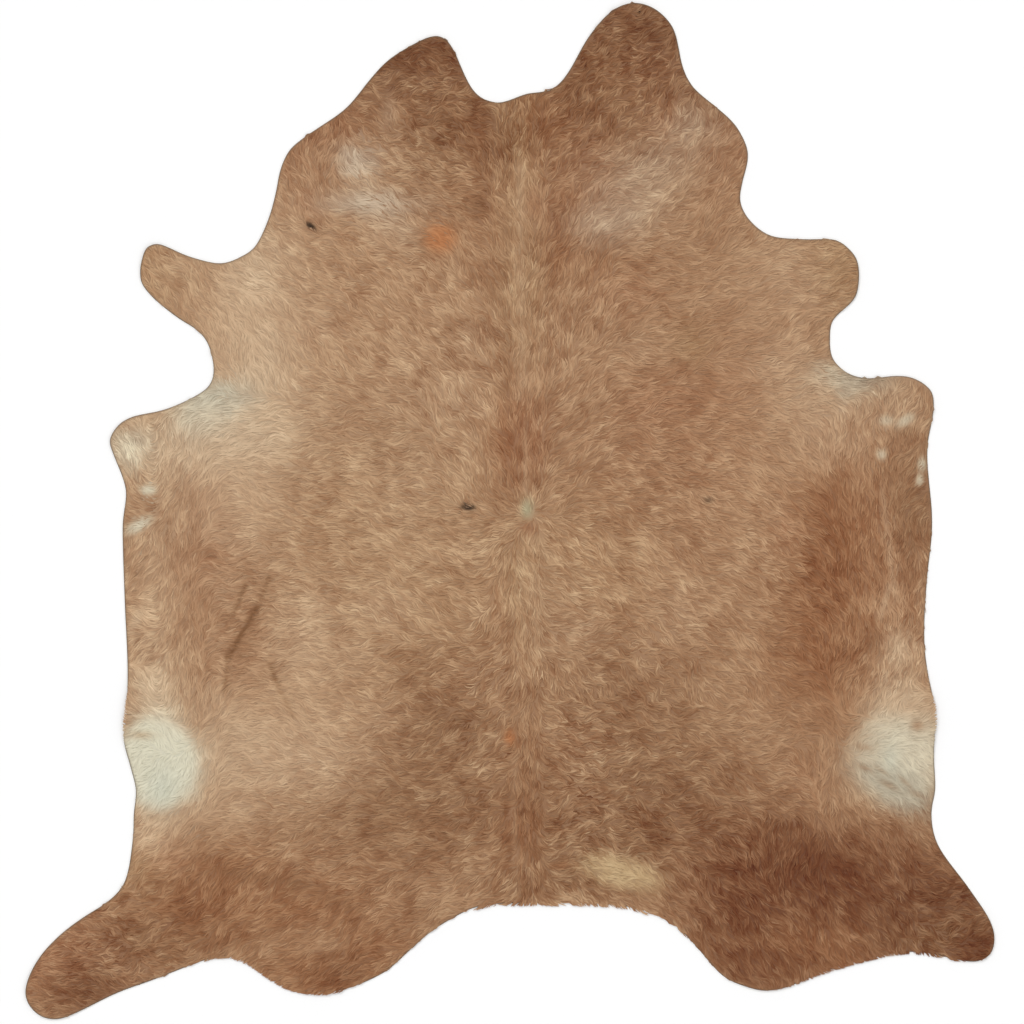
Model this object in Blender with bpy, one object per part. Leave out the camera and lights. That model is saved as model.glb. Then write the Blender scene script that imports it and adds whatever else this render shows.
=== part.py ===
"""Cowhide rug: one tanned hide with its hair on, lying flat with the hair side up.

Metres, +Z up. The origin is on the floor under the middle of the hide. The neck
points to +Y, the tail edge to -Y, and the hide's right side, seen from above, to +X.
"""
import math
from collections import namedtuple

import bpy
from mathutils import Vector
from mathutils.geometry import delaunay_2d_cdt
from mathutils.kdtree import KDTree

MM = 0.001

# Leather with its hair lying down on it: thickest over the spine, thin at the cut edge
SPINE_THICKNESS = 5.5 * MM
EDGE_THICKNESS = 3.2 * MM
BELLY_THICKNESS = 4.4 * MM
SPINE_ACROSS = 36 * MM
SPINE_HALF_WIDTH = 500 * MM
EDGE_THINNING = 60 * MM

# Fineness of the faceted solid
EDGE_STEP = 18 * MM
INNER_STEP = 40 * MM
CLEAR_OF_EDGE = 0.6 * INNER_STEP
FLAT_BELOW = 0.25 * MM

# Brown coat: base colour (linear), roughness
COAT_COLOUR = (0.361, 0.208, 0.120, 1.0)
COAT_ROUGHNESS = 0.8

# The cut edge, hair included, clockwise from the notch of the neck. A row is a place
# where the edge bends: mm across to the right of the middle, mm along towards the neck.
EdgePoint = namedtuple("EdgePoint", "across along")

RIGHT_NECK_FLAP = (
    EdgePoint(0, 863), EdgePoint(36, 877), EdgePoint(80, 882), EdgePoint(105, 899),
    EdgePoint(124, 924), EdgePoint(168, 1000), EdgePoint(218, 1053), EdgePoint(261, 1067),
    EdgePoint(305, 1054), EdgePoint(342, 1016), EdgePoint(353, 979), EdgePoint(363, 932),
    EdgePoint(382, 893), EdgePoint(443, 840), EdgePoint(473, 811), EdgePoint(500, 752),
    EdgePoint(487, 685), EdgePoint(483, 653), EdgePoint(496, 620), EdgePoint(542, 580),
)
RIGHT_FORE_LEG = (
    EdgePoint(615, 571), EdgePoint(685, 569), EdgePoint(708, 554), EdgePoint(727, 531),
    EdgePoint(733, 500), EdgePoint(725, 447), EdgePoint(697, 420), EdgePoint(676, 397),
    EdgePoint(672, 363), EdgePoint(676, 323), EdgePoint(708, 290), EdgePoint(746, 279),
    EdgePoint(815, 284), EdgePoint(848, 279), EdgePoint(884, 254), EdgePoint(890, 220),
)
RIGHT_FLANK = (
    EdgePoint(877, 139), EdgePoint(877, 99), EdgePoint(886, -2), EdgePoint(886, -46),
    EdgePoint(875, -151), EdgePoint(870, -263), EdgePoint(876, -332), EdgePoint(895, -426),
    EdgePoint(890, -510), EdgePoint(893, -586), EdgePoint(885, -632), EdgePoint(896, -695),
)
RIGHT_HIND_LEG = (
    EdgePoint(964, -792), EdgePoint(1008, -859), EdgePoint(1018, -893), EdgePoint(1011, -929),
    EdgePoint(981, -948), EdgePoint(943, -946), EdgePoint(855, -930), EdgePoint(800, -934),
    EdgePoint(676, -966), EdgePoint(573, -1004), EdgePoint(531, -1008), EdgePoint(498, -1000),
    EdgePoint(450, -979), EdgePoint(384, -908), EdgePoint(344, -872), EdgePoint(305, -851),
)
TAIL_EDGE = (
    EdgePoint(258, -838), EdgePoint(204, -831), EdgePoint(74, -828), EdgePoint(-36, -831),
    EdgePoint(-72, -836), EdgePoint(-122, -858), EdgePoint(-166, -884),
)
LEFT_HIND_LEG = (
    EdgePoint(-212, -924), EdgePoint(-261, -967), EdgePoint(-344, -1006), EdgePoint(-386, -1015),
    EdgePoint(-428, -1014), EdgePoint(-479, -1000), EdgePoint(-552, -952), EdgePoint(-590, -938),
    EdgePoint(-632, -943), EdgePoint(-750, -985), EdgePoint(-825, -1012), EdgePoint(-907, -1052),
    EdgePoint(-947, -1067), EdgePoint(-983, -1062), EdgePoint(-1010, -1037), EdgePoint(-1018, -1008),
    EdgePoint(-1006, -968), EdgePoint(-983, -930), EdgePoint(-938, -884), EdgePoint(-890, -849),
    EdgePoint(-846, -821), EdgePoint(-811, -783), EdgePoint(-792, -687),
)
LEFT_FLANK = (
    EdgePoint(-790, -632), EdgePoint(-785, -590), EdgePoint(-800, -526), EdgePoint(-812, -478),
    EdgePoint(-803, -359), EdgePoint(-809, -193), EdgePoint(-813, -74), EdgePoint(-813, -21),
    EdgePoint(-806, 38), EdgePoint(-813, 69), EdgePoint(-834, 122),
)
LEFT_FORE_LEG = (
    EdgePoint(-841, 149), EdgePoint(-823, 180), EdgePoint(-796, 197), EdgePoint(-722, 214),
    EdgePoint(-653, 246), EdgePoint(-632, 263), EdgePoint(-622, 290), EdgePoint(-634, 351),
    EdgePoint(-655, 378), EdgePoint(-697, 405), EdgePoint(-754, 452), EdgePoint(-776, 483),
    EdgePoint(-777, 506), EdgePoint(-762, 555), EdgePoint(-743, 562), EdgePoint(-672, 534),
    EdgePoint(-603, 520), EdgePoint(-565, 534), EdgePoint(-538, 552), EdgePoint(-508, 611),
)
LEFT_NECK_FLAP = (
    EdgePoint(-492, 668), EdgePoint(-482, 718), EdgePoint(-464, 757), EdgePoint(-437, 781),
    EdgePoint(-351, 840), EdgePoint(-330, 861), EdgePoint(-290, 911), EdgePoint(-253, 949),
    EdgePoint(-174, 994), EdgePoint(-152, 999), EdgePoint(-132, 990), EdgePoint(-118, 968),
    EdgePoint(-92, 909), EdgePoint(-76, 882), EdgePoint(-54, 864), EdgePoint(-29, 857),
)
OUTLINE = (
    RIGHT_NECK_FLAP, RIGHT_FORE_LEG, RIGHT_FLANK, RIGHT_HIND_LEG, TAIL_EDGE,
    LEFT_HIND_LEG, LEFT_FLANK, LEFT_FORE_LEG, LEFT_NECK_FLAP,
)

# Soft folds that lift the hide off the floor, in mm: where the crest starts and ends,
# how far the fold spreads to each side of it, and how high it stands
Fold = namedtuple("Fold", "start_across start_along end_across end_along spread height")
FOLDS = (
    Fold(36, 800, 36, -760, 42, 4.5),
    Fold(-521, -162, -584, -323, 20, 4.0),
    Fold(-599, -134, -651, -292, 20, 3.0),
    Fold(-477, -361, -449, -443, 18, 2.5),
    Fold(273, -449, 672, -422, 26, 3.0),
    Fold(609, -827, 756, -712, 30, 4.0),
)

# Places where the edge of the hide curls or puffs up, in mm: centre, reach and height
Lift = namedtuple("Lift", "across along reach height")
LIFTS = (
    Lift(-150, 1000, 70, 4.0),
    Lift(262, 1066, 90, 5.0),
    Lift(-777, 545, 80, 5.0),
    Lift(733, 500, 80, 4.5),
    Lift(890, 240, 70, 3.5),
    Lift(-841, 149, 60, 3.5),
    Lift(-806, -430, 90, 6.0),
    Lift(895, -440, 95, 6.5),
    Lift(-1005, -1040, 90, 5.5),
    Lift(1018, -895, 90, 5.0),
    Lift(-386, -1015, 75, 3.0),
    Lift(531, -1008, 75, 3.5),
)


def clear_scene():
    for thing in list(bpy.data.objects):
        bpy.data.objects.remove(thing, do_unlink=True)


def blend(first, second, low, high, knot):
    """Point on the line from first to second where the curve's own knot lies."""
    return (first * (high - knot) + second * (knot - low)) / (high - low)


def point_on_curve(before, start, end, after, share):
    """Point of a centripetal Catmull-Rom curve, at a share of the way from start to end."""
    k0 = 0.0
    k1 = k0 + math.sqrt((start - before).length)
    k2 = k1 + math.sqrt((end - start).length)
    k3 = k2 + math.sqrt((after - end).length)
    knot = k1 + (k2 - k1) * share
    first = blend(before, start, k0, k1, knot)
    middle = blend(start, end, k1, k2, knot)
    last = blend(end, after, k2, k3, knot)
    return blend(blend(first, middle, k0, k2, knot), blend(middle, last, k1, k3, knot), k1, k2, knot)


def edge_loop():
    """The smooth cut edge as a closed ring of points, about EDGE_STEP apart."""
    corners = [Vector((row.across, row.along)) * MM for table in OUTLINE for row in table]
    count = len(corners)
    loop = []
    for number in range(count):
        before, start, end, after = (corners[(number + step) % count] for step in (-1, 0, 1, 2))
        pieces = max(1, round((end - start).length / EDGE_STEP))
        for piece in range(pieces):
            loop.append(point_on_curve(before, start, end, after, piece / pieces))
    return loop


def is_inside(point, loop):
    """True where a level line from the point to the right crosses the loop an odd number of times."""
    inside = False
    for start, end in zip(loop, loop[1:] + loop[:1]):
        if (start.y > point.y) == (end.y > point.y):
            continue
        crossing = start.x + (end.x - start.x) * (point.y - start.y) / (end.y - start.y)
        if point.x < crossing:
            inside = not inside
    return inside


def nearest_edge_finder(loop):
    tree = KDTree(len(loop))
    for number, point in enumerate(loop):
        tree.insert(point.to_3d(), number)
    tree.balance()
    return tree


def inner_points(loop, edge_tree):
    """Points in even, staggered rows inside the loop and clear of it."""
    row_step = INNER_STEP * math.sqrt(3) / 2
    left = min(point.x for point in loop)
    right = max(point.x for point in loop)
    front = min(point.y for point in loop)
    back = max(point.y for point in loop)
    found = []
    for row in range(int((back - front) / row_step) + 1):
        shift = INNER_STEP / 2 if row % 2 else 0.0
        for column in range(int((right - left) / INNER_STEP) + 1):
            point = Vector((left + shift + column * INNER_STEP, front + row * row_step))
            clear = edge_tree.find(point.to_3d())[2] > CLEAR_OF_EDGE
            if clear and is_inside(point, loop):
                found.append(point)
    return found


def fold_height(fold, point):
    """Height that one fold adds: a soft ridge that fades past the ends of its crest."""
    start = Vector((fold.start_across, fold.start_along)) * MM
    end = Vector((fold.end_across, fold.end_along)) * MM
    crest = end - start
    share = min(1.0, max(0.0, (point - start).dot(crest) / crest.length_squared))
    away = (point - (start + crest * share)).length / (fold.spread * MM)
    return fold.height * MM * math.exp(-away * away)


def lift_height(lift, point):
    """Height that one raised place adds at a point."""
    away = (point - Vector((lift.across, lift.along)) * MM).length / (lift.reach * MM)
    return lift.height * MM * math.exp(-away * away)


def height_over_floor(point):
    """How far the flesh side stands over the floor: zero where the hide lies flat."""
    height = sum(fold_height(fold, point) for fold in FOLDS)
    height += sum(lift_height(lift, point) for lift in LIFTS)
    return max(0.0, height - FLAT_BELOW)


def thickness_share(point, edge_distance):
    """Thickness at a point as a share of the thickness over the spine."""
    from_spine = min(1.0, abs(point.x - SPINE_ACROSS) / SPINE_HALF_WIDTH)
    body = SPINE_THICKNESS + (BELLY_THICKNESS - SPINE_THICKNESS) * from_spine
    from_edge = min(1.0, edge_distance / EDGE_THINNING)
    return (EDGE_THICKNESS + (body - EDGE_THICKNESS) * from_edge) / SPINE_THICKNESS


def coat_material():
    material = bpy.data.materials.new("hair_on_hide")
    material.use_nodes = True
    shader = material.node_tree.nodes["Principled BSDF"]
    shader.inputs["Base Color"].default_value = COAT_COLOUR
    shader.inputs["Roughness"].default_value = COAT_ROUGHNESS
    shader.inputs["Metallic"].default_value = 0.0
    return material


def make_hide():
    """One sheet with the outline, folds and lifts above, given its thickness upwards."""
    loop = edge_loop()
    edge_tree = nearest_edge_finder(loop)
    flat_points = loop + inner_points(loop, edge_tree)
    rim = list(range(len(loop)))
    flat_verts, _, faces, _, _, _ = delaunay_2d_cdt(flat_points, [], [rim], 1, 1e-6)
    verts = [(point.x, point.y, height_over_floor(point)) for point in flat_verts]
    mesh = bpy.data.meshes.new("hide")
    mesh.from_pydata(verts, [], faces)
    mesh.materials.append(coat_material())
    mesh.shade_smooth()

    hide = bpy.data.objects.new("hide", mesh)
    bpy.context.scene.collection.objects.link(hide)
    group = hide.vertex_groups.new(name="thickness")
    for number, point in enumerate(flat_verts):
        edge_distance = edge_tree.find(point.to_3d())[2]
        group.add([number], thickness_share(point, edge_distance), "REPLACE")

    solid = hide.modifiers.new("thickness", "SOLIDIFY")
    solid.thickness = SPINE_THICKNESS
    solid.offset = 1.0
    solid.vertex_group = group.name
    solid.use_rim = True
    return hide


clear_scene()
make_hide()
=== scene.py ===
import math

import bmesh
import bpy
import numpy as np
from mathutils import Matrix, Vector
from mathutils.bvhtree import BVHTree
from mathutils.kdtree import KDTree


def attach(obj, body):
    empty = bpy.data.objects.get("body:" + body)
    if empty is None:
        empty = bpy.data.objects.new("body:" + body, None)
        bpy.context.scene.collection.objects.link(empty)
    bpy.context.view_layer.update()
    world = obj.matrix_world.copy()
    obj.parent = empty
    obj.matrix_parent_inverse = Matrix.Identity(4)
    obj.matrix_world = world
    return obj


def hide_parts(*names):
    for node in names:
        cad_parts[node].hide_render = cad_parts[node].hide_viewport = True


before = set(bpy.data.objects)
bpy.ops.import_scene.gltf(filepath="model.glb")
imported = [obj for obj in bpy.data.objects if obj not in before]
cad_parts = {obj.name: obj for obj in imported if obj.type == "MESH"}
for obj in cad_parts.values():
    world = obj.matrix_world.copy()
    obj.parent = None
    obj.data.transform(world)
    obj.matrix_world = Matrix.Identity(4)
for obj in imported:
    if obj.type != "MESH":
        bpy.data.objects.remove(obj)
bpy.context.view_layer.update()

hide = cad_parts["hide"]
cm = 0.01
mm = 0.001
noiseSpan = 6       # metres that a lattice of soft noise covers

# Places on the hide are in centimetres from its middle, x to the right and y to the neck.
# Directions are in degrees: 0 to the right, 90 to the neck.


def between(values, ix, iy, fx, fy):
    # reads a lattice of values between its knots
    low = values[iy, ix] * (1 - fx) + values[iy, ix + 1] * fx
    high = values[iy + 1, ix] * (1 - fx) + values[iy + 1, ix + 1] * fx
    return low * (1 - fy) + high * fy


def softNoise(x, y, step, seed):
    # smooth random hills from -1 to 1, about one step apart
    side = int(noiseSpan / step) + 4
    knots = np.random.default_rng(seed).uniform(-1, 1, (side, side))
    gx, gy = x / step + side / 2, y / step + side / 2
    ix, iy = np.floor(gx).astype(int), np.floor(gy).astype(int)
    fx, fy = gx - ix, gy - iy
    return between(knots, ix, iy, fx * fx * (3 - 2 * fx), fy * fy * (3 - 2 * fy))


def hills(x, y, layers):
    # adds up layers of soft noise, each with its height, step and seed
    return sum(height * softNoise(x, y, step, seed) for height, step, seed in layers)


def spots(x, y, rows):
    # adds up soft round spots, each with its middle, reach and amount
    total = np.zeros_like(x)
    for spotX, spotY, reach, amount in rows:
        away = ((x - spotX * cm) ** 2 + (y - spotY * cm) ** 2) / (reach * cm) ** 2
        total += amount * np.exp(-away)
    return total


def ridges(x, y, rows):
    # adds up soft ridges, each along a straight line that fades out past its ends
    total = np.zeros_like(x)
    for fromX, fromY, toX, toY, spread, height in rows:
        runX, runY = (toX - fromX) * cm, (toY - fromY) * cm
        along = ((x - fromX * cm) * runX + (y - fromY * cm) * runY) / (runX ** 2 + runY ** 2)
        held = np.clip(along, 0, 1)
        away = (x - fromX * cm - held * runX) ** 2 + (y - fromY * cm - held * runY) ** 2
        total += height * mm * np.exp(-away / (spread * cm) ** 2)
    return total


def pieceFromArrays(name, points, faces):
    # faces is a list of arrays, each with one face a row
    mesh = bpy.data.meshes.new(name)
    corners = np.concatenate([rows.ravel() for rows in faces]).astype(np.int32)
    sizes = np.concatenate([np.full(len(rows), rows.shape[1], np.int32) for rows in faces])
    starts = np.concatenate([[0], np.cumsum(sizes)[:-1]]).astype(np.int32)
    mesh.vertices.add(len(points))
    mesh.vertices.foreach_set("co", points.astype(np.float32).ravel())
    mesh.loops.add(len(corners))
    mesh.loops.foreach_set("vertex_index", corners)
    mesh.polygons.add(len(sizes))
    mesh.polygons.foreach_set("loop_start", starts)
    mesh.update(calc_edges=True)
    mesh.shade_smooth()
    piece = bpy.data.objects.new(name, mesh)
    bpy.context.scene.collection.objects.link(piece)
    return piece, corners


def readAll(parts, name, width=1, kind=float):
    # one row for each point, edge, corner or face of a mesh
    values = np.empty(len(parts) * width, kind)
    parts.foreach_get(name, values)
    return values.reshape(-1, width) if width > 1 else values


def pointValues(mesh, name, kind, key, values):
    layer = mesh.attributes.new(name, kind, "POINT")
    layer.data.foreach_set(key, values.astype(np.float32).ravel())


def cornerMap(mesh, name, uv):
    layer = mesh.uv_layers.new(name=name)
    layer.uv.foreach_set("vector", uv.astype(np.float32).ravel())


# Coat colours, as they look in daylight (sRGB, 0 to 255)
dyes = {
    "brown": (166, 130, 100),
    "tan": (190, 159, 129),
    "fawn": (202, 177, 148),
    "gold": (168, 135, 102),
    "ruddy": (150, 106, 78),
    "rust": (138, 94, 65),
    "umber": (134, 98, 71),
    "sable": (118, 81, 57),
    "bark": (100, 58, 36),
    "straw": (188, 162, 124),
    "oat": (190, 170, 148),
    "cream": (212, 206, 184),
    "haze": (190, 192, 176),
    "moss": (176, 180, 150),
    "orange": (182, 112, 68),
    # near-black, for small marks
    "nearBlack": (48, 38, 30),
    "dust": (165, 156, 138),
    # painted shade for the creases
    "creaseShade": (104, 70, 44),
    # the grey of the cut skin together with painted shade along the cut edge
    "edgeGreyAndShade": (96, 86, 72),
}

# How the coat is coloured: soft patches laid one over another on warm brown.
# dye, middle x and y, half width, half height, strength (0.5 if left out), firmness (1 soft, 2
# and more firm), turn
coat = {
    "ground": "brown",
    "patches": [
        # neck flaps, and a few down the back
        ("sable", -17, 95, 15, 13, 0.95, 1.5), ("umber", -13, 81, 19, 10.5, 0.75, 1.2),
        ("sable", 27, 100, 13, 10.5, 0.9, 1.5), ("umber", 21, 86, 19, 13, 0.85, 1.3),
        ("ruddy", -40, 78, 10.5, 8.5, 0.55, 1, 35), ("brown", -24, 82, 4, 4),
        ("rust", -6, 67, 4.5, 12.5, 0.45), ("rust", 10.5, 58, 5.5, 7.5, 0.8, 1, -20),
        ("rust", 6, 82, 4, 10), ("rust", 8, 86, 3.5, 6), ("sable", -5, 79, 2.4, 6, 0.6),
        ("sable", -7, 64, 2.4, 2.4, 0.6), ("rust", 11.5, 65.5, 3, 4.5, 0.6),
        ("rust", 10.5, 57.5, 3.5, 5), ("brown", -25, 75, 4, 3.5), ("tan", 10.5, -22, 4.5, 7, 0.3),
        ("ruddy", 24, 46, 6, 4), ("ruddy", 30, 22.5, 6, 4), ("ruddy", 32, 81, 4, 4.5, 0.6),
        ("ruddy", 18, 66, 4, 4, 0.4), ("rust", 20, 53, 6, 4), ("ruddy", 16, 73, 8.5, 8.5),
        ("ruddy", 45, 76, 6.5, 10.5, 0.4), ("ruddy", 31.5, 93, 6.5, 5, 0.4),
        ("brown", -36, 66, 10.5, 7.5), ("oat", -32, 73, 4.6, 3.2, 0.9, 1.5, -15),
        ("oat", -29, 65, 9, 2.6, 0.75, 1.3), ("oat", -26, 61, 6, 3, 0.45, 1, -30),
        ("oat", 27, 70.5, 15, 6, 0.42, 1, 30), ("oat", 21, 60, 8.5, 4, 0.45, 1, 15),
        ("oat", 38, 82, 4, 4, 0.4),
        # cheeks and fore legs
        ("tan", -55, 38, 13, 23, 0.85, 1.2, -10), ("fawn", -54, 51, 5.5, 6.5, 0.6),
        ("fawn", -52, 32, 6, 8), ("gold", -73, 51, 8, 5.5, 0.3, 1.5, -30),
        ("tan", 59, 50, 8.5, 8.5, 0.6), ("tan", 58, 31, 7, 6, 0.6),
        ("gold", 70, 51, 6.5, 8.5, 0.6, 1.2),
        # arm pits
        ("fawn", -61, 15, 17, 10, 0.75, 1.2, 10), ("haze", -62, 22, 7.5, 4, 0.8, 1.3, 10),
        ("cream", -80, 13, 4.5, 4, 0.6, 1.2, -30), ("fawn", 68, 23, 10.5, 5.5, 0.6, 1.2, 10),
        ("haze", 71.5, 28, 7, 3, 0.55, 1.2), ("oat", 83, 20, 5, 4, 0.15), ("fawn", -61, 16, 9, 5, 0.85),
        # spine
        ("gold", 2, 78, 3.5, 10.5), ("gold", 2, 48.5, 4, 19, 0.5, 1.2),
        ("ruddy", 2, 15, 5, 9.5, 0.8, 1.2), ("ruddy", -2, -19, 2, 8.5, 0.4), ("gold", 3, -14.5, 4, 9.5),
        ("rust", 2.5, -61, 5.5, 19, 0.45),
        # middle of the back
        ("gold", -23, -10, 25, 25, 0.4, 1.2), ("gold", 19, -8, 12.5, 12.5, 0.4),
        ("ruddy", 31.5, 15, 23, 19, 0.3), ("ruddy", 44, 27.5, 12.5, 8.5, 0.3, 1, 20),
        # left side
        ("tan", -57, 0, 10.5, 12.5, 0.7), ("ruddy", -64, -10, 5, 12.5, 0.4),
        ("ruddy", -56, -27, 8, 10.5, 0.3, 1, -20), ("tan", -75, -20, 5.5, 10, 0.6),
        ("tan", -43, -27, 7, 11, 0.7, 1.2), ("tan", -22, 12, 13, 24, 0.35),
        ("umber", -24, 16, 6, 3.5, 0.35), ("umber", -14, -43, 10.5, 10.5, 0.75, 1.2),
        ("umber", -23, -62, 23, 12, 0.7, 1.3), ("tan", -46, -50, 15, 10.5, 0.8, 1.2),
        ("fawn", -62, -50, 8.5, 8.5), ("tan", -61, -62, 8.5, 5),
        # right side
        ("rust", 68, -10, 8.5, 23, 0.85, 1.3, -6), ("rust", 66, -31, 10.5, 10.5, 0.7, 1.2),
        ("tan", 68, 14, 9, 4.5, 0.6), ("ruddy", 82, -6, 6.5, 17), ("umber", 84.5, 1, 5, 12, 0.85),
        ("rust", 61, -36, 6, 6), ("ruddy", 61, -55, 6, 5, 0.4), ("umber", 27, -44, 19, 15, 0.6, 1.2),
        ("umber", 29, -61, 23, 10.5, 0.75, 1.2, 10), ("brown", 52.5, -44, 12.5, 8.5),
        # flank patches
        ("fawn", -75, -38, 5, 6, 0.85), ("fawn", -75, -63, 7, 4.5, 0.6),
        ("cream", -73.5, -52, 7.6, 9.5, 0.95, 2.2), ("fawn", 81, -37.5, 5.5, 6.5, 0.6),
        ("cream", 82, -50.5, 9, 9.5, 0.6, 1.8), ("dust", 82, -59, 8, 4, 0.7, 1.2, -25),
        # hind legs
        ("rust", -59, -82, 23, 9.5, 0.7, 1.4, -10), ("rust", -38, -97.5, 10.5, 6.5, 0.7, 1.2, 10),
        ("rust", -32, -90, 11, 11, 0.55), ("rust", -70, -85, 7, 5), ("rust", -55, -74, 6, 3.5),
        ("brown", -52, -80, 7, 1.8, 0.2, 1, 5), ("brown", -41, -87, 4, 3), ("bark", 49, -96, 5, 4, 0.4),
        ("ruddy", -92, -94, 12.5, 10.5, 0.8, 1.5), ("umber", -76, -90, 10, 4.5, 0.6),
        ("sable", -88, -100, 8, 4.5, 0.75, 1, 20), ("tan", -76, -68, 6, 5, 0.9, 1.2),
        ("gold", -78, -75.5, 5, 3.5, 0.6), ("bark", 59, -82, 25, 15, 0.8, 1.5, -10),
        ("bark", 67, -75, 12.5, 6.5, 0.5, 1, -30), ("rust", 68, -92, 6, 4.5, 0.7),
        ("sable", 91, -86, 12.5, 10.5, 0.85, 1.3), ("bark", 52.5, -97.5, 10.5, 5, 0.4),
        ("bark", 88, -76, 10, 6, 0.5, 1, -30), ("rust", 59, -89, 7, 3.5), ("bark", 98, -92, 5, 4, 0.6),
        ("tan", -75, -6, 4, 4), ("brown", -8, -34.5, 5, 4), ("brown", -1, -39, 2.5, 6),
        ("brown", 13, -50, 5, 4),
        # tail end
        ("umber", 10.5, -75, 5, 5), ("umber", 20, -79, 8, 3, 0.6, 1, -10),
        ("umber", 27, -70, 9, 3, 0.6), ("straw", 23, -75.5, 8, 2.8, 0.6, 1.6, -8),
        ("umber", 2, -79, 6, 2.5), ("umber", 12, -77.5, 4, 2, 0.3),
        # smaller clouds laid last
        ("brown", 32, 34, 10, 4, 0.6), ("rust", 2, -67, 4.5, 5, 0.4), ("umber", 15, -78, 4, 2.4),
        ("brown", 14, -47.5, 4.5, 4), ("brown", -11, -37, 5, 4), ("brown", -79, -80, 4, 3),
        ("brown", -7.5, 36, 4, 4), ("rust", 20, 92, 12, 12, 0.3), ("rust", -14, 90, 10, 9, 0.25),
        ("brown", 16.5, 21, 5, 4, 0.6), ("brown", -61, -23, 3.5, 7), ("brown", -6.5, 68.5, 3, 2.5),
        ("tan", -69, 51, 4, 3), ("bark", 82.5, -86, 4, 3, 0.3), ("rust", 6.5, 85, 3, 5),
        ("brown", -50, -90.5, 6, 3), ("rust", 74.5, -5, 3, 6, 0.4), ("brown", 41, -29, 5, 4),
        ("rust", -73.5, -87.5, 4, 3, 0.4), ("brown", 14, -59, 4, 3, 0.3), ("tan", -27, -20.5, 5, 4),
        ("brown", -38, -91, 5, 3, 0.6), ("tan", 54, 30, 6, 4, 0.4),
        ("cream", -64, 18, 5, 3, 0.4, 1, 10), ("fawn", -55, 16.5, 5, 4), ("tan", -46, -52, 6, 4, 0.7),
        ("tan", -63, -3, 5, 4, 0.4), ("fawn", -70.5, -45.8, 3, 2), ("rust", -42, -83, 5, 2.5),
        ("brown", -25, -43, 5, 4), ("ruddy", -71.5, -73, 4, 3), ("tan", -10, 23.5, 5, 4, 0.45),
        ("brown", -40, -71, 5, 3.5), ("tan", -25, 74, 4, 3.5, 0.4),
        ("rust", -0.5, 15, 2.6, 8, 0.5, 1, 5), ("tan", 5.5, -17, 3, 10, 0.3),
        ("gold", 88, -88.5, 7, 2.5, 0.3, 1, 5), ("tan", -26, 57.3, 3.5, 3, 0.45),
        ("brown", -21, 84.5, 3.5, 3), ("tan", -60, -18, 3, 3, 0.4), ("brown", 16, -60, 4, 3),
        ("brown", -23.3, -83.8, 4, 2.5, 0.45), ("tan", -63.5, -39, 3.5, 3, 0.4),
        ("tan", -32.5, -31, 4, 3.5, 0.4), ("tan", -40.5, 39.5, 4, 3.5, 0.35),
        ("gold", 38, 35, 3.5, 3, 0.7), ("rust", 10.2, 56.3, 2.6, 3.6), ("rust", 12.8, 66, 3, 2.5, 0.4),
        ("rust", -57.3, -79.6, 4, 3, 0.4), ("ruddy", 57.5, -3.6, 3, 4),
        ("sable", -74, -87.5, 4, 3, 0.3), ("tan", 34.2, -20.4, 4, 3.5, 0.4),
        ("tan", -61.7, -28.6, 3, 3, 0.35), ("sable", -35, -97, 4, 3, 0.45),
        ("ruddy", -41.8, 64.5, 3, 3, 0.4), ("tan", -7.4, 36.3, 3.5, 3.5, 0.4),
        ("tan", -26.2, -43, 3.5, 3, 0.35), ("sable", 33.2, -58.4, 4, 3, 0.35),
        ("bark", 53.6, -83.6, 4, 3, 0.4), ("sable", 34.5, 96.5, 6, 6, 0.45),
        ("sable", 10, 89, 4, 4, 0.4), ("umber", -14, -85, 6, 2.5, 0.3), ("umber", -24.6, -59.8, 4, 3),
        ("brown", -11.5, -7.6, 3.5, 3), ("tan", 26.5, 33.6, 3.5, 3, 0.35),
        ("tan", 15.8, -24.6, 3.5, 3, 0.35),
    ],
    # small sharp marks that stay where they are on the coat: stains, flecks and the whorl
    "marks": [
        ("orange", -14.7, 57.3, 3.1, 2.9, 0.6, 1.8), ("orange", 0, -47.5, 1, 1.5, 0.6, 1.2),
        ("straw", 23.5, -76, 8.2, 3.4, 0.5, 3, -14), ("straw", 29.5, -78.5, 3, 2, 0.3, 1, -30),
        ("rust", 10.7, -74.4, 2.2, 0.7, 0.6, 1.5, 5), ("moss", 3.6, 0.4, 1.2, 2, 0.6, 1.2),
        ("ruddy", 4.8, 64, 1.6, 3, 0.45), ("ruddy", 4, -3.4, 1.4, 1.2, 0.7),
        # small near-black marks
        ("nearBlack", -41.8, 59.8, 1.2, 0.55, 0.95, 2, -35), ("nearBlack", -8.8, 0.8, 1.4, 0.6, 0.95, 2),
        ("nearBlack", 41.8, 2.3, 0.9, 0.5, 0.5, 1.5), ("cream", -78, -3, 3, 1.2, 0.8, 1.5, 30),
        ("cream", -76, 4.4, 1.6, 1, 0.8, 1.5), ("cream", 83, 19, 2, 1, 0.6, 1.5, 30),
        ("cream", 79, 19, 1.5, 1, 0.5, 1.5), ("cream", 78, 11.8, 1, 1, 0.6, 1.5),
        ("cream", 86.5, 9.7, 0.9, 1.4, 0.7, 1.5), ("cream", 86, 6.5, 0.8, 1.2, 0.7, 1.5),
        ("cream", -74, -53, 8.1, 9.4, 0.85, 5, 8), ("haze", -73, -58.5, 3, 4),
        ("gold", -77.5, -47, 2.2, 0.7, 0.45), ("cream", 82, -51.5, 10, 9.5, 0.45, 4, -20),
        ("tan", 84, -41, 5.5, 2.4, 0.6), ("dust", 80, -57, 6, 2.4, 0.6, 1, -20),
        ("haze", 80, -52, 1.6, 3, 0.4), ("rust", 85.5, -45, 1.1, 1),
        ("umber", 74.5, -54, 1.6, 0.5, 0.4, 1, -25), ("umber", 78, -54.5, 1.8, 0.4, 0.3, 1, -35),
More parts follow.
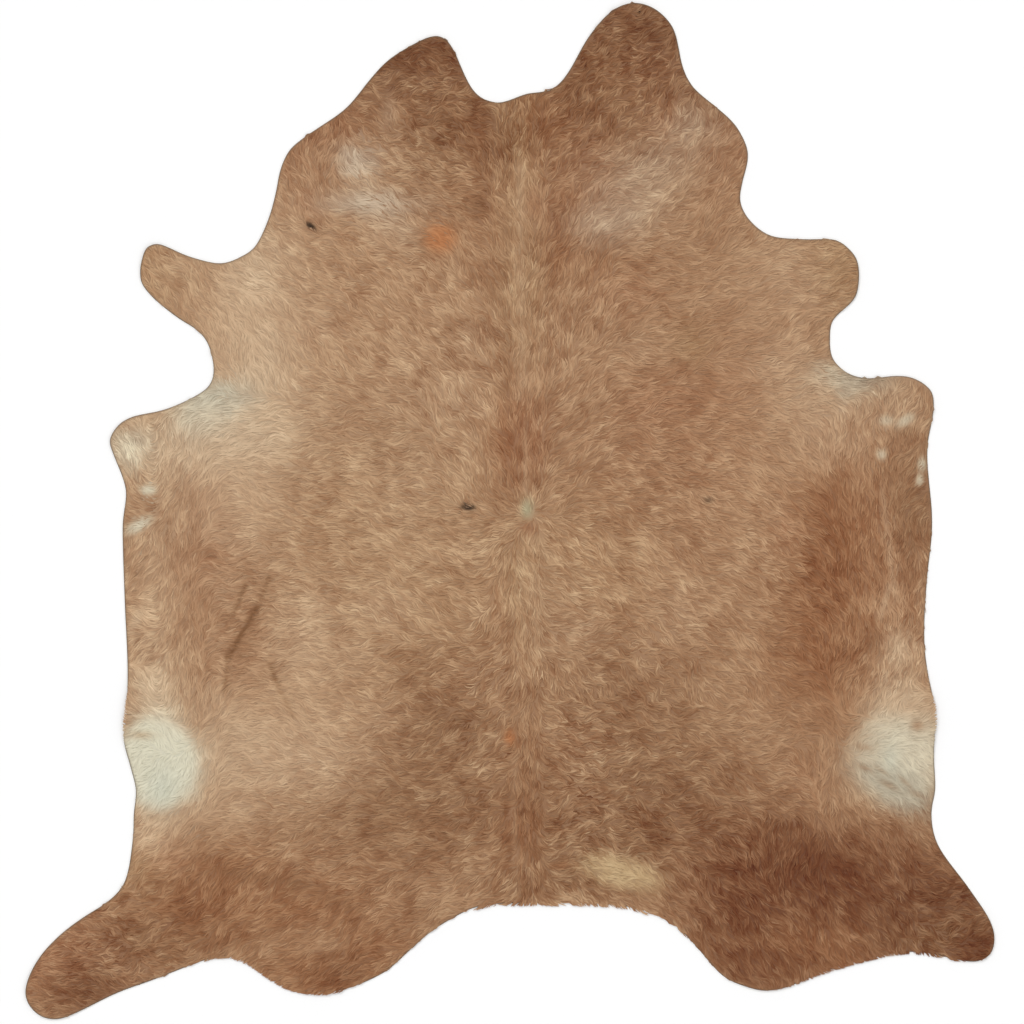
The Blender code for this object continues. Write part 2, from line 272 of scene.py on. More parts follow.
        ("umber", 79.5, -57.5, 1.8, 0.6, 0.4, 1, -30), ("umber", 83, -57, 1.6, 0.4, 0.3, 1, -45),
        ("umber", 85.5, -59.5, 1.6, 0.5, 0.35, 1, -20), ("rust", 74, -49.5, 1.4, 0.5, 0.4, 1, -20),
        ("oat", -30, 64.5, 9, 2.2, 0.35, 1.3), ("oat", -25.5, 84, 1.3, 3.6, 0.3),
        ("umber", 76.6, -27.5, 0.9, 1.6, 0.6), ("fawn", 81.5, -28.5, 3, 3.4, 0.5, 1.2),
        ("fawn", -78.5, -23, 1, 3, 0.5, 1, -30), ("umber", -7.1, 63.6, 0.9, 1.6, 0.55),
        ("umber", -3.4, 46, 1.1, 2.8, 0.4), ("umber", -1.6, 25.2, 1.5, 1.8),
        ("umber", 4.9, 75.6, 1.2, 1, 0.45), ("rust", -6.3, 80, 1.6, 3.4, 0.4),
    ],
    # creases, as painted shade, and pale lines: dye, from x and y, to x and y, half width, strength
    "streaks": [
        # painted shade in the creases of the left flank, with a broader painted shade of umber round
        # them
        ("creaseShade", -50.5, -13.8, -53.2, -20.4, 0.4, 0.4),
        ("creaseShade", -53.2, -20.4, -59.2, -30.8, 0.55, 0.75),
        ("creaseShade", -59.2, -30.8, -59.8, -37.8, 0.45, 0.35),
        ("creaseShade", -55.4, -15.3, -58.4, -22, 0.45, 0.4),
        ("creaseShade", -50.4, -32, -49.3, -35.5, 0.45, 0.5),
        ("creaseShade", -49.3, -35.5, -45.5, -43, 0.6, 0.25), ("umber", -51.5, -17, -57, -30, 1.8, 0.22),
        # painted shade in the fold of the left hind leg
        ("umber", -60, -75.8, -44, -78.3, 1.3, 0.45), ("umber", -44, -78.3, -34, -83, 1.3, 0.35),
        ("tan", 78.1, 4.4, 81, -18.7, 0.7, 0.45), ("fawn", 79.5, -16, 78, -22, 0.8, 0.4),
        ("tan", 3.2, 19, 3.2, 4, 0.5, 0.35), ("tan", 2.2, 72, 2.6, 24, 1.3, 0.3),
        ("tan", 0.9, -52, 0.9, -76, 0.8, 0.25), ("umber", 5.8, 88, 5.2, 77, 0.45, 0.4),
        ("umber", -0.9, 66, -0.7, 26, 0.7, 0.22), ("sable", 78, -86.5, 93, -83.5, 1, 0.35),
        ("bark", 58, -70, 72, -75, 2.2, 0.3),
    ],
    "fall": 0.7,        # how fast a patch fades towards its half width
    "ragged": 0.011,    # how far the borders of the patches wander, and after which hills
    "wander": ([(1, 0.05, 11), (0.6, 0.018, 12)], [(1, 0.05, 13), (0.6, 0.018, 14)]),
    # hair throws light on hair, which pales the dark parts; this takes it back
    "gain": (1.05, 1.085, 1.11),
    "drop": (1.5, 8.0, 12.5),
}


def dyeOver(colour, dye, cover):
    colour += (np.array(dyes[dye]) - colour) * cover[:, None]


def layPatch(colour, x, y, dye, middleX, middleY, halfWidth, halfHeight, strength=0.5, firm=1, turn=0):
    angle = math.radians(turn)
    dx, dy = x / cm - middleX, y / cm - middleY
    u = (dx * math.cos(angle) + dy * math.sin(angle)) / halfWidth
    v = (dy * math.cos(angle) - dx * math.sin(angle)) / halfHeight
    dyeOver(colour, dye, strength * np.exp(-coat["fall"] * (u * u + v * v) ** firm))


def layMarks(colour, x, y):
    # the marks that stay in place, and the lines with the painted crease shade, for points of the hair
    # and of the leather
    for row in coat["marks"]:
        layPatch(colour, x, y, *row)
    for dye, *line, strength in coat["streaks"]:
        dyeOver(colour, dye, strength * ridges(x, y, [(*line, 1)]) / mm)


def coatColour(x, y):
    wanderX, wanderY = [coat["ragged"] * hills(x, y, layers) for layers in coat["wander"]]
    colour = np.empty((len(x), 3))
    colour[:] = dyes[coat["ground"]]
    for row in coat["patches"]:
        layPatch(colour, x + wanderX, y + wanderY, *row)
    return colour


def inLight(colour):
    # from how a colour looks (0 to 255) to how much light it gives back, and a full alpha
    share = np.clip(colour * coat["gain"] - coat["drop"], 0, 255) / 255
    light = np.where(share < 0.04045, share / 12.92, ((share + 0.055) / 1.055) ** 2.4)
    return np.append(light, np.ones((len(light), 1)), 1)


class Wire:
    # a socket that Python's own signs can reckon with
    def __init__(self, recipe, socket):
        self.recipe = recipe
        self.socket = socket

    def reckon(self, operation, other):
        return self.recipe.add("ShaderNodeMath", {"operation": operation}, {0: self, 1: other})

    def __add__(self, other):
        return self.reckon("ADD", other)

    def __mul__(self, other):
        return self.reckon("MULTIPLY", other)

    __radd__ = __add__
    __rmul__ = __mul__


class Recipe:
    # one material and the nodes that make it
    def __init__(self, name):
        self.material = bpy.data.materials.new(name)
        self.material.use_nodes = True
        self.tree = self.material.node_tree
        self.tree.nodes.clear()
        self.shader = self.tree.nodes.new("ShaderNodeBsdfPrincipled")
        output = self.tree.nodes.new("ShaderNodeOutputMaterial")
        self.tree.links.new(self.shader.outputs[0], output.inputs[0])

    def plug(self, socket, value):
        if isinstance(value, Wire):
            self.tree.links.new(value.socket, socket)
        else:
            socket.default_value = value

    def add(self, kind, settings=None, sockets=None, output=0):
        node = self.tree.nodes.new(kind)
        for name, value in (settings or {}).items():
            setattr(node, name, value)
        for name, value in (sockets or {}).items():
            self.plug(node.inputs[name], value)
        return Wire(self, node.outputs[output])

    def shade(self, colour, light):
        settings = {"operation": "SCALE"}
        return self.add("ShaderNodeVectorMath", settings, {0: colour, "Scale": light})

    def noise(self, place, scale, detail):
        sockets = {"Vector": place, "Scale": scale, "Detail": detail}
        return self.add("ShaderNodeTexNoise", sockets=sockets)

    def bump(self, strength, distance, height):
        sockets = {"Strength": strength, "Distance": distance, "Height": height}
        return self.add("ShaderNodeBump", sockets=sockets)

    def finish(self, **sockets):
        for name, value in sockets.items():
            self.plug(self.shader.inputs[name.replace("_", " ")], value)
        return self.material


def hairMaterial():
    recipe = Recipe("cow hair")
    tone = recipe.add("ShaderNodeAttribute", {"attribute_name": "hairTone"}, output="Color")
    number = recipe.add("ShaderNodeAttribute", {"attribute_name": "lockNumber"}, output="Fac")
    strand = recipe.add("ShaderNodeUVMap", {"uv_map": "strand"})
    across = recipe.add("ShaderNodeSeparateXYZ", sockets={0: strand}, output="X")
    along = recipe.add("ShaderNodeSeparateXYZ", sockets={0: strand}, output="Y")
    place = recipe.add("ShaderNodeCombineXYZ", sockets={0: across * 7.0, 1: along * 1.3, 2: number})
    strands = recipe.noise(place, 1.0, 2.0)
    colour = recipe.shade(tone, 0.86 + 0.28 * strands)
    bump = recipe.bump(0.2, 0.0004, strands)
    return recipe.finish(Base_Color=colour, Roughness=0.55 + 0.2 * strands, Normal=bump,
                         Specular_IOR_Level=0.2)


def undercoatMaterial():
    # the short dense wool and shade between the locks
    recipe = Recipe("undercoat")
    tone = recipe.add("ShaderNodeAttribute", {"attribute_name": "coatTone"}, output="Color")
    place = recipe.add("ShaderNodeTexCoord", output="Object")
    speckle = recipe.noise(place, 420.0, 3.0)
    colour = recipe.shade(tone, 0.74 + 0.26 * speckle)
    bump = recipe.bump(0.5, 0.001, speckle)
    return recipe.finish(Base_Color=colour, Roughness=0.7 + 0.2 * speckle, Normal=bump)


def suedeMaterial():
    # the flesh side and the cut edge: pale napped leather, a little uneven from tanning
    recipe = Recipe("suede")
    place = recipe.add("ShaderNodeTexCoord", output="Object")
    clouds = recipe.noise(place, 6.0, 4.0)
    nap = recipe.noise(place, 700.0, 3.0)
    tans = {0: clouds, 6: (0.5, 0.4, 0.29, 1), 7: (0.62, 0.54, 0.43, 1)}
    tanned = recipe.add("ShaderNodeMix", {"data_type": "RGBA"}, tans, 2)
    colour = recipe.shade(tanned, 0.85 + 0.30 * nap)
    bump = recipe.bump(0.4, 0.0006, nap)
    return recipe.finish(Base_Color=colour, Roughness=0.78 + 0.18 * nap, Normal=bump)


# The leather: a thin sheet on the underside of the solid, with the main creases
leather = {
    "thickness": 0.002,
    "cuts": 3,              # how finely the sheet is divided
    "edgeInset": 0.0003,    # the cut edge lies this far inside the solid's outline
    "insetReach": 0.05,     # how far in from the edge the sheet gives way to the inset
    "border": 0.003,        # width of the strip along the cut edge, where the skin shows
    "borderShade": 0.9,     # how far that strip takes the grey of the cut skin and painted edge shade
    "roundOff": 4,          # rounds of smoothing the outline's corners
    # where hair hangs over the cut edge: x, y, reach, extra inset in mm
    "overhang": [
        (12, -82, 14, 5), (30, -84, 9, 4), (-5, -82, 9, 4),
        (70, -96, 14, 4), (90, -94, 9, 4), (-55, -96, 12, 4), (-40, -102, 8, 4),
        (-80, -43, 4, 5), (89, -43, 4, 5),
    ],
    "evenOut": 10,          # rounds of smoothing over the solid's flat faces
    "spreadOut": 18,        # rounds of spreading its points evenly
    # soft ridges beside the creases: from x and y, to x and y, half width in cm, height in mm
    "creases": [
        (-49.5, -12, -57.5, -31, 1.1, 2.6), (-52, -15, -60, -34, 0.9, 2),
        (-55, -17, -60.5, -28, 0.9, 1.8), (-46.5, -35, -44, -44, 1, 1.8),
        (28, -44, 46, -44.5, 1.4, 1.6), (50, -44.5, 66, -42.5, 1.3, 1.8), (62, -71, 75, -83, 1.2, 2.2),
        (64, -66, 79, -76, 1.3, 1.6),
    ],
    "settle": 0.0003,       # how much lower the sheet lies than the solid's underside
    "waves": 0.0009,        # height of the gentle waves all over, and their hills
    "waveHills": [(1, 0.1, 21), (0.5, 0.04, 22)],
    "merge": 0.00005,       # points of the solid closer than this are one
    "level": 0.5,           # faces less level than this are the rim's
    # its baked picture: the width of a side, and the strip of the rim's faces below
    "sideWidth": 0.49,
    "strip": 0.08,
    "stripUse": 0.07,
    "stripRows": 8,
    "cellUse": 0.8,
}


def edgeLoop(mesh):
    # the sheet's border as one ring of point numbers, in order
    sheet = bmesh.new()
    sheet.from_mesh(mesh)
    nextTo = {}
    for edge in sheet.edges:
        if edge.is_boundary:
            a, b = edge.verts[0].index, edge.verts[1].index
            nextTo.setdefault(a, []).append(b)
            nextTo.setdefault(b, []).append(a)
    sheet.free()
    ring = [min(nextTo)]
    ring.append(nextTo[ring[0]][0])
    while len(ring) < len(nextTo):
        before, here = ring[-2:]
        ring.append(next(n for n in nextTo[here] if n != before))
    return np.array(ring)


def ringArea(ring):
    # more than 0 where the ring runs anticlockwise
    x, y = ring[:, 0], ring[:, 1]
    return np.sum(x * np.roll(y, -1) - y * np.roll(x, -1)) / 2


def ringNormals(ring):
    # outward directions along a closed ring of points
    run = np.roll(ring, -2, 0) - np.roll(ring, 2, 0)
    outward = np.stack([run[:, 1], -run[:, 0]], 1)
    outward /= np.linalg.norm(outward, axis=1)[:, None]
    return outward if ringArea(ring) > 0 else -outward


def nearestOnRing(ring, places):
    # the number of each place's nearest ring point, and how far away it is
    tree = KDTree(len(ring))
    for number, (edgeX, edgeY) in enumerate(ring):
        tree.insert((edgeX, edgeY, 0), number)
    tree.balance()
    found = [tree.find((x, y, 0)) for x, y in places]
    return np.array([near[1] for near in found]), np.array([near[2] for near in found])


def startLeather():
    # a copy of the solid, merged, with only its underside kept and turned to face up
    bpy.ops.object.select_all(action="DESELECT")
    sheet = bpy.data.objects.new("leather", hide.data.copy())
    bpy.context.scene.collection.objects.link(sheet)
    sheet.select_set(True)
    bpy.context.view_layer.objects.active = sheet
    bpy.ops.object.mode_set(mode="EDIT")
    bpy.ops.mesh.select_all(action="SELECT")
    bpy.ops.mesh.remove_doubles(threshold=leather["merge"])
    bpy.ops.mesh.select_mode(type="FACE")
    bpy.ops.mesh.select_all(action="DESELECT")
    bpy.ops.object.mode_set(mode="OBJECT")
    for face in sheet.data.polygons:
        face.select = face.normal.z > -leather["level"]
    bpy.ops.object.mode_set(mode="EDIT")
    bpy.ops.mesh.delete(type="FACE")
    bpy.ops.mesh.select_all(action="SELECT")
    bpy.ops.mesh.flip_normals()
    bpy.ops.mesh.subdivide(number_cuts=leather["cuts"])
    bpy.ops.mesh.select_all(action="DESELECT")
    bpy.ops.object.mode_set(mode="OBJECT")
    return sheet


def shapeLeather(sheet):
    mesh = sheet.data
    points = readAll(mesh.vertices, "co", 3)
    ends = readAll(mesh.edges, "vertices", 2, np.int32)
    first, second = ends[:, 0], ends[:, 1]
    meeting = np.bincount(ends.ravel(), minlength=len(points))

    ring = edgeLoop(mesh)
    for _ in range(leather["roundOff"]):
        flat = points[ring, :2]
        points[ring, :2] = 0.5 * flat + 0.25 * (np.roll(flat, 1, 0) + np.roll(flat, -1, 0))
    outline = points[ring, :2].copy()

    def evened(values):
        # half of each point's value gives way to the mean of its neighbours'
        around = np.bincount(first, values[second], len(points))
        around += np.bincount(second, values[first], len(points))
        return 0.5 * values + 0.5 * (around / meeting)

    height = points[:, 2]
    for _ in range(leather["evenOut"]):
        height = evened(height)
    height = np.maximum(height - leather["settle"], 0)
    x, y = points[:, 0], points[:, 1]
    waves = hills(x, y, leather["waveHills"])
    height = height + ridges(x, y, leather["creases"]) + leather["waves"] * np.clip(waves, 0, 1)

    # the cut edge is drawn in under the hair, and the sheet near it gives way
    outward = ringNormals(outline)
    inset = leather["edgeInset"] + mm * spots(outline[:, 0], outline[:, 1], leather["overhang"])
    inset += leather["border"]
    nearest, away = nearestOnRing(outline, points[:, :2])
    give = inset[nearest] * np.clip(1 - away / leather["insetReach"], 0, 1)
    points[:, :2] -= outward[nearest] * give[:, None]
    points[:, 2] = height

    # the points between are spread evenly again
    inner = np.ones(len(points), bool)
    inner[ring] = False
    for _ in range(leather["spreadOut"]):
        for axis in (0, 1):
            points[inner, axis] = evened(points[:, axis])[inner]
    mesh.vertices.foreach_set("co", points.ravel())
    mesh.update()
    addBorder(mesh, ring, outline)
    return outline


def addBorder(mesh, ring, outline):
    # a narrow strip of faces out to the cut edge
    outward = ringNormals(outline)
    sheet = bmesh.new()
    sheet.from_mesh(mesh)
    sheet.verts.ensure_lookup_table()
    inner = [sheet.verts[number] for number in ring]
    outer = []
    for point, (outX, outY) in zip(inner, outward * leather["border"]):
        outer.append(sheet.verts.new((point.co.x + outX, point.co.y + outY, point.co.z)))
    for number in range(len(ring)):
        after = (number + 1) % len(ring)
        corners = [inner[after], inner[number], outer[number], outer[after]]
        sheet.faces.new(corners if ringArea(outline) > 0 else corners[::-1])
    sheet.to_mesh(mesh)
    sheet.free()


def finishLeather(sheet):
    wall = sheet.modifiers.new("thickness", "SOLIDIFY")
    wall.thickness = leather["thickness"]
    wall.offset = 1
    wall.use_rim = True
    bpy.context.view_layer.objects.active = sheet
    bpy.ops.object.modifier_apply(modifier=wall.name)
    mesh = sheet.data
    mesh.shade_smooth()
    facing = readAll(mesh.polygons, "normal", 3)[:, 2]
    top, under = facing > leather["level"], facing < -leather["level"]
    rim = ~(top | under)
    mesh.materials.clear()
    mesh.materials.append(undercoatMaterial())
    mesh.materials.append(suedeMaterial())
    mesh.polygons.foreach_set("material_index", np.where(top, 0, 1).astype(np.int32))

    points = readAll(mesh.vertices, "co", 3)
    corners = readAll(mesh.loops, "vertex_index", 1, np.int32)
    sizes = readAll(mesh.polygons, "loop_total", 1, np.int32)
    starts = np.cumsum(sizes) - sizes
    owner = np.repeat(np.arange(len(sizes)), sizes)

    x, y = points[:, 0], points[:, 1]
    colour = coatColour(x, y)
    onEdge = np.zeros(len(points), bool)
    onEdge[corners[rim[owner]]] = True
    layMarks(colour, x, y)
    # the cut edge is painted grey: partly the cut skin, partly painted shade along the edge
    colour[onEdge] += leather["borderShade"] * (np.array(dyes["edgeGreyAndShade"]) - colour[onEdge])
    pointValues(mesh, "coatTone", "FLOAT_COLOR", "color", inLight(colour))

    # a map for each side, and the rim's faces side by side in a strip below them
    place = np.arange(len(corners)) - starts[owner]
    flat = points[:, :2]
    strip, rows, used = leather["strip"], leather["stripRows"], leather["cellUse"]
    uv = (flat[corners] - flat.min(0)) / (flat.max(0) - flat.min(0))
    uv = uv * (leather["sideWidth"], 1 - strip) + (0, strip)
    uv[under[owner], 0] += 0.5
    number = np.cumsum(rim)[owner] - 1
    perRow = math.ceil(rim.sum() / rows)
    cellWidth, cellHeight = 1 / perRow, leather["stripUse"] / rows
    rimU = (number % perRow + used * np.isin(place, (1, 2))) * cellWidth
    rimV = (number // perRow + used * np.isin(place, (2, 3))) * cellHeight
    cornerMap(mesh, "OFBake", np.where(rim[owner][:, None], np.stack([rimU, rimV], 1), uv))


leatherPiece = startLeather()
outline = shapeLeather(leatherPiece)
finishLeather(leatherPiece)
print("leather:", len(leatherPiece.data.polygons), "faces")

# A map of the hide that the hair is laid by: the height of the leather, how far it is to the
# outline (positive inside), and which way the hair is combed
hideMap = {
    "step": 0.006,
    "margin": 0.05,
    "outlineStep": 0.002,   # how closely the outline is sampled
    "pastEdge": 3,          # steps past the outline where the height is looked for
    "carried": 8,           # steps that it is carried on
    "above": 0.1,           # where the rays start
}

# How the hair lies, in strokes: from x, y, direction, to x, y, and the direction there if it bends
comb = {
    "strokes": [
        # along the spine, away from the whorl
        (4, 84, 86, 4, 7, 90), (4, -8, 270, 4, -78),
        # beside the spine on the left
        (-2, 65, 117, -2, 8, 118), (-2, 2, 135, -2, -4, 180), (-2, -4, 180, -2, -10, 225),
        (-2, -17, 262, -2, -23, 235), (-2, -35, 205, -2, -54, 187), (-2, -61, 215, -2, -80),
        # beside the spine on the right
        (10.5, 84, 50, 10.5, 65, 38), (10.5, 59, 65, 10.5, 27, 75), (10.5, 21, 55, 10.5, 2, 35),
        (10.5, -4, -32, 10.5, -17), (10.5, -23, -5, 10.5, -29, -40), (10.5, -42, 0, 10.5, -73),
        (10.5, -80, -25, 17, -80, -40), (17, -80, -40, 23, -80, -35),
        # left back
        (-8, 59, 140, -8, 8, 125), (-15, 46, 132, -15, 23), (-24, 44, 142, -24, 36),
        (-34, 44, 145, -43, 52, 150), (-43, 52, 150, -43, 40), (-52, 34, 115, -52, 27, 95),
        # left fore leg
        (-72, 54, 125, -71, 46, 120), (-71, 46, 120, -59, 27),
        # left neck flap
        (-27, 90, 178, -15, 90), (-15, 84, 180, -8, 84, 160), (-27, 81, 148, -27, 66, 153),
        (-21, 76, 163, -15, 71), (-33, 70, 153, -27, 66), (-20, 65, 165, -8, 65, 155),
        (-46, 72, 110, -40, 72, 90), (-40, 78, 60, -40, 72, 90), (-46, 65, 125, -46, 59, 145),
        (-33, 59, 160, -21, 59),
        # left side
        (-65, 21, 202, -52, 21), (-46, 15, 180, -21, 15), (-21, 21, 145, -15, 15, 140),
        (-52, 2, 160, -46, -4), (-27, -4, 163, -8, -4, 165), (-21, -17, 158, -8, -17),
        (-60, -12, 180, -30, -12, 175), (-60, -30, 180, -10, -30), (-46, -42, 150, -40, -44, 175),
        (-21, -36, 190, -15, -36), (-55, -55, 182, -10, -55, 180), (-62, -67, 190, -8, -73, 187),
        # left edge
        (-71, 15, 262, -68, -40, 268), (-79, 15, 125, -78, 2, 145), (-78, -10, 240, -78, -20, 170),
        (-78, -23, 155, -78, -29, 225), (-79, -36, 110, -79, -40, 120),
        # left flank, round its pale patch
        (-72, -48, 130, -79, -48, 190), (-72, -54, 240, -79, -54, 215), (-66, -54, 255, -66, -60, 250),
        (-72, -61, 225, -79, -61, 215), (-79, -66, 220, -60, -78, 225),
        # left hind leg
        (-86, -85, 182, -91, -92, 180), (-91, -92, 180, -84, -99, 157), (-54, -82, 215, -36, -98),
        (-70, -84, 200, -78, -92, 190),
        # tail end
        (-23, -73, 190, -6, -80, 200),
        # right back
        (19, 65, 30, 19, 53, 55), (17, 46, 60, 17, 27, 45), (25, 50, 5, 70, 50, 3),
        (24, 30, 5, 70, 30, 3), (60, 40, 25, 67, 34), (17, 21, 30, 17, 15, 35), (27, 12, -15, 40, 9),
        (17, 0, -18, 61, 0, -20), (17, -17, -22, 61, -17, -20), (27, -36, -50, 48, -36, -45),
        (19, -27, 10, 24, -27, -10), (17, -46, 0, 62, -46), (17, -62, 0, 62, -60),
        # right neck flap
        (23, 103, 20, 23, 97, 27), (17, 97, 27, 29, 91), (19, 84, 35, 36, 78, 50),
        (42, 84, 90, 42, 78, 55), (40, 72, 35, 29, 72, 20), (29, 65, 20, 48, 59, 40),
        # right edge
        (74, 15, 270, 78, -30, 268), (80, 12, 245, 86, 12, 240), (87, 21, 255, 87, 15, 250),
        (74, -36, 243, 80, -40, 225), (86, 2, 210, 86, -4, 260), (86, -10, 265, 86, -30),
        # right flank, round its pale patch
        (80, -48, 20, 86, -42, 15), (73, -48, 65, 73, -54, -40), (80, -54, -30, 86, -54, -35),
        (74, -61, -45, 80, -61), (67, -48, 275, 67, -67), (55, -67, 270, 61, -73, 260),
        # right hind leg
        (40, -80, -45, 74, -92, -55), (74, -71, -48, 82, -80), (88, -80, -20, 99, -86, 5),
        (60, -82, -70, 56, -96, -60),
    ],
    "every": 4,         # a stroke is read every so many centimetres
    "reach": 3.5,       # how close to a stroke the hair follows it
    "blunt": 0.05,      # keeps the pull from growing without end on a stroke
    # where the hair curls: x, y, reach, degrees
    "curls": [
        (-5, -42, 6, 13), (-5, -62, 7, 13), (13, -40, 7, 12), (31, -35, 10, 16),
        (16, -62, 9, 10), (31, -60, 12, 8), (-20, -40, 12, 7), (60, -50, 14, 5),
        (-18, 86, 16, 9), (28, 90, 18, 9), (14, 70, 12, 6), (-80, -92, 10, 9), (90, -88, 10, 10),
    ],
}


def makeHideMap():
    step, margin = hideMap["step"], hideMap["margin"]
    low = outline.min(0) - margin
    count = np.ceil((outline.max(0) + margin - low) / step).astype(int) + 1
    gridX, gridY = np.meshgrid(*(low[axis] + step * np.arange(count[axis]) for axis in (0, 1)))
    x, y = gridX.ravel(), gridY.ravel()

    # distance to the outline, which is sampled closely first
    dense = []
    for start, end in zip(outline, np.roll(outline, -1, 0)):
        pieces = max(1, int(np.linalg.norm(end - start) / hideMap["outlineStep"]))
        dense.append(start + (end - start) * (np.arange(pieces) / pieces)[:, None])
    dense = np.concatenate(dense)
    outward = ringNormals(dense)
    nearest = nearestOnRing(dense, zip(x, y))[0]
    apart = np.stack([x, y], 1) - dense[nearest]
    inward = -np.sign(np.sum(apart * outward[nearest], 1)) * np.linalg.norm(apart, axis=1)

    # height of the leather's hair side, carried a little way past its edge
    solid = bmesh.new()
    solid.from_mesh(leatherPiece.data)
    bvh = BVHTree.FromBMesh(solid)
    solid.free()
    height = np.full(len(x), np.nan)
    down = Vector((0, 0, -1))
    for number in np.flatnonzero(inward > -hideMap["pastEdge"] * step):
        hit = bvh.ray_cast(Vector((x[number], y[number], hideMap["above"])), down)[0]
        if hit is not None:
            height[number] = hit.z
    height = height.reshape(gridX.shape)
    for _ in range(hideMap["carried"]):
        gap = np.isnan(height)
        around = [np.roll(height, hand, axis) for hand in (1, -1) for axis in (0, 1)]
        known = np.sum([~np.isnan(side) for side in around], 0)
        total = np.sum([np.nan_to_num(side) for side in around], 0)
        fill = gap & (known > 0)
        height[fill] = total[fill] / known[fill]
    height = np.nan_to_num(height, nan=leather["thickness"])

    # the comb's direction, each stroke pulling the more the nearer it is
    pullX, pullY = np.zeros(len(x)), np.zeros(len(x))
    for fromX, fromY, fromTurn, toX, toY, *toTurn in comb["strokes"]:
        bend = toTurn[0] - fromTurn if toTurn else 0
        reads = max(2, int(math.hypot(toX - fromX, toY - fromY) / comb["every"]) + 1)
        for share in np.linspace(0, 1, reads):
            strokeX = (fromX + share * (toX - fromX)) * cm
            strokeY = (fromY + share * (toY - fromY)) * cm
            turn = math.radians(fromTurn + share * bend)
            away = ((x - strokeX) ** 2 + (y - strokeY) ** 2) / (comb["reach"] * cm) ** 2
            pull = 1 / (comb["blunt"] + away) ** 2
            pullX += pull * math.cos(turn)
            pullY += pull * math.sin(turn)
    strength = np.hypot(pullX, pullY) + 1e-9
    square = gridX.shape
    hideMap.update(low=low, height=height, inward=inward.reshape(square),
                   combX=(pullX / strength).reshape(square), combY=(pullY / strength).reshape(square))


def readMap(name, x, y):
    values = hideMap[name]
    gx = np.clip((x - hideMap["low"][0]) / hideMap["step"], 0, values.shape[1] - 1.001)
    gy = np.clip((y - hideMap["low"][1]) / hideMap["step"], 0, values.shape[0] - 1.001)
    ix, iy = gx.astype(int), gy.astype(int)
    return between(values, ix, iy, gx - ix, gy - iy)


makeHideMap()
print("hide map:", hideMap["height"].shape)

